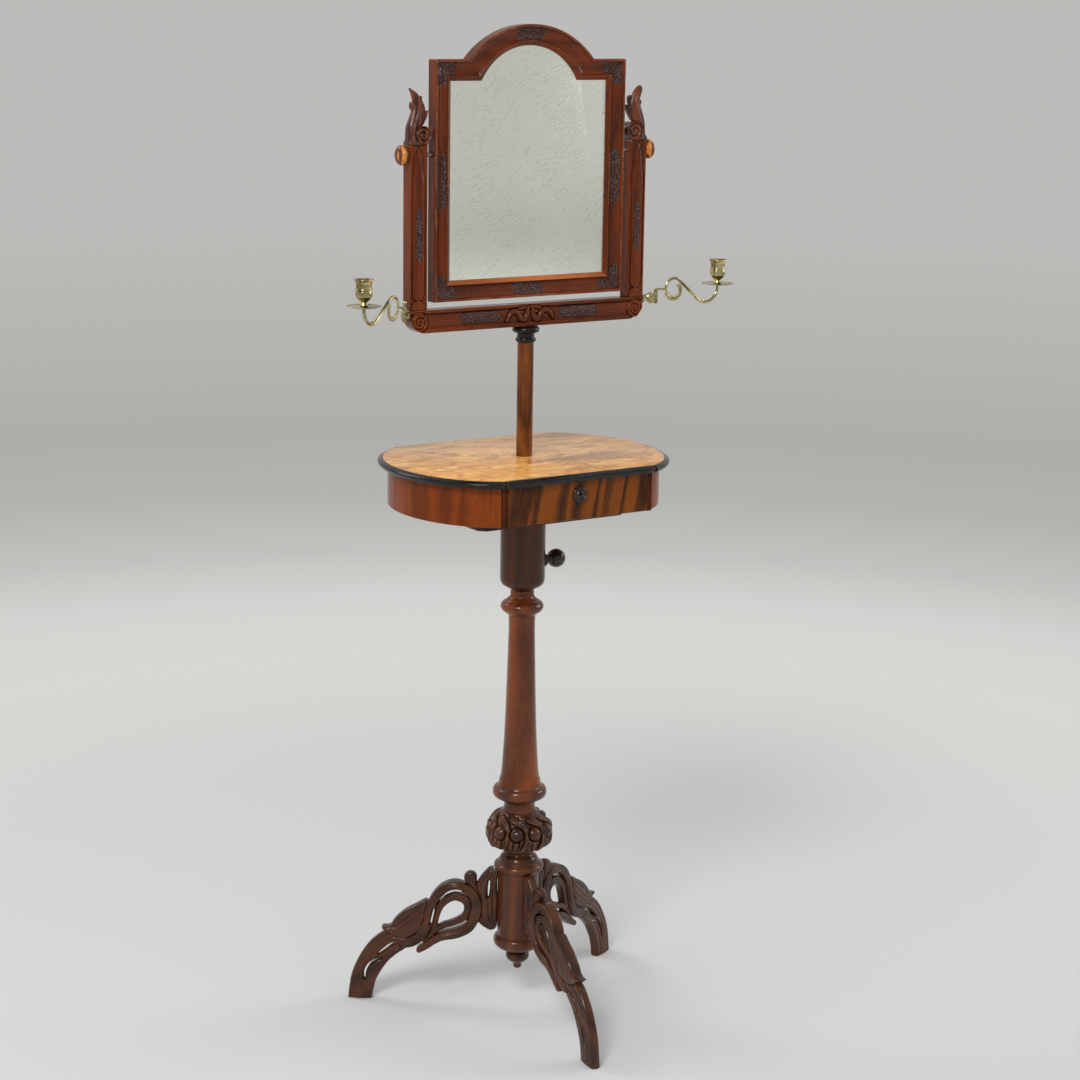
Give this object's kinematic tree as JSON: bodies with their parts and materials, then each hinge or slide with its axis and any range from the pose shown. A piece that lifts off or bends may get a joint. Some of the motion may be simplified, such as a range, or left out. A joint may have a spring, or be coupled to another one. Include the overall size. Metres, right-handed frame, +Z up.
{
  "type": "standing shaving mirror",
  "caption": "Tripod stand with carved pierced legs and turned column, oval drawer table, sliding pole with arched tilting mirror in a harp, and hinged brass candle arms.",
  "frame": {"origin": "on the floor, on the axis of the column", "axes": "+Z up along the column, -Y towards the drawer front and the viewer, +X to the viewer's right"},
  "size_m": [0.7994, 0.4803, 1.6803],
  "materials": {
    "walnut_carved": "waxed, dark",
    "walnut_turned": "french polished",
    "walnut_red": "french polished",
    "drawer_veneer": "veneer, polished",
    "burl_veneer": "burl veneer, polished",
    "ebonised": "black, polished",
    "knob_wood": "polished",
    "pine": "bare, aged",
    "brass": "aged",
    "iron": "plain",
    "silvered_glass": "silvered"
  },
  "bodies": {
    "stand": {"leg_front": "walnut_carved", "leg_left": "walnut_carved", "leg_back": "walnut_carved", "hub": "walnut_turned", "drop_finial": "walnut_carved", "carved_knop": "walnut_carved", "column_shaft": "walnut_turned", "column_barrel": "walnut_turned", "thumb_bush": "ebonised", "bearer_board": "walnut_carved", "bearer_screws": "iron", "apron_left": "drawer_veneer", "apron_right": "drawer_veneer", "apron_back": "drawer_veneer", "guide_left": "pine", "guide_right": "pine", "stop_board": "pine", "drawer_runners": "pine", "corner_beads": "drawer_veneer", "table_panel": "burl_veneer", "moulding_front": "ebonised", "moulding_back": "ebonised", "moulding_left": "ebonised", "moulding_right": "ebonised"},
    "thumb_screw": {"thumb_screw": "ebonised"},
    "drawer": {"drawer_front": "drawer_veneer", "drawer_side_left": "pine", "drawer_side_right": "pine", "drawer_back": "pine", "drawer_bottom": "pine", "lock_case": "iron", "escutcheon": "ebonised"},
    "pole": {"pole": "walnut_red", "collar": "ebonised"},
    "harp": {"harp_rail": "walnut_red", "post_left": "walnut_red", "post_right": "walnut_red", "cresting_left": "walnut_red", "cresting_right": "walnut_red", "candle_brackets": "brass", "bracket_screws": "brass"},
    "mirror": {"mirror_stile_left": "walnut_red", "mirror_stile_right": "walnut_red", "mirror_bottom_rail": "walnut_red", "mirror_arch_rail": "walnut_red", "mirror_glass": "silvered_glass", "mirror_backboard": "pine", "pivot_bushes": "brass"},
    "knob_left": {"tilt_knob_left": "knob_wood", "tilt_screw_left": "iron"},
    "knob_right": {"tilt_knob_right": "knob_wood", "tilt_screw_right": "iron"},
    "link_left": {"candle_link_left": "brass"},
    "link_right": {"candle_link_right": "brass"},
    "arm_left": {"candle_arm_left": "brass", "drip_pan_left": "brass", "candle_cup_left": "brass"},
    "arm_right": {"candle_arm_right": "brass", "drip_pan_right": "brass", "candle_cup_right": "brass"}
  },
  "joints": [
    {"name": "height_slide", "type": "slide", "parent": "stand", "child": "pole", "axis": [0, 0, 1], "range_m": [-0.188, 0.16]},
    {"name": "swivel", "type": "hinge", "parent": "pole", "child": "harp", "pos_m": [0, 0, 1.195], "axis": [0, 0, 1], "continuous": true},
    {"name": "mirror_tilt", "type": "hinge", "parent": "harp", "child": "mirror", "pos_m": [0, -0.001, 1.4773], "axis": [1, 0, 0], "continuous": true},
    {"name": "tilt_knob_left_turn", "type": "hinge", "parent": "harp", "child": "knob_left", "pos_m": [-0.235, -0.001, 1.4773], "axis": [1, 0, 0], "continuous": true},
    {"name": "tilt_knob_right_turn", "type": "hinge", "parent": "harp", "child": "knob_right", "pos_m": [0.235, -0.001, 1.4773], "axis": [1, 0, 0], "continuous": true},
    {"name": "thumb_screw_turn", "type": "hinge", "parent": "stand", "child": "thumb_screw", "pos_m": [0.067, 0, 0.794], "axis": [1, 0, 0], "continuous": true},
    {"name": "drawer_slide", "type": "slide", "parent": "stand", "child": "drawer", "axis": [0, -1, 0], "range_m": [0, 0.1]},
    {"name": "link_left_swing", "type": "hinge", "parent": "harp", "child": "link_left", "pos_m": [-0.2325, -0.001, 1.23], "axis": [0, 0, 1], "range_deg": [-140, 10]},
    {"name": "link_right_swing", "type": "hinge", "parent": "harp", "child": "link_right", "pos_m": [0.2325, -0.001, 1.23], "axis": [0, 0, 1], "range_deg": [-75, 75]},
    {"name": "arm_left_swing", "type": "hinge", "parent": "link_left", "child": "arm_left", "pos_m": [-0.24412, -0.02592, 1.24], "axis": [0, 0, 1], "range_deg": [-52, 118]},
    {"name": "arm_right_swing", "type": "hinge", "parent": "link_right", "child": "arm_right", "pos_m": [0.26, -0.001, 1.24], "axis": [0, 0, 1], "range_deg": [-85, 85]}
  ]
}
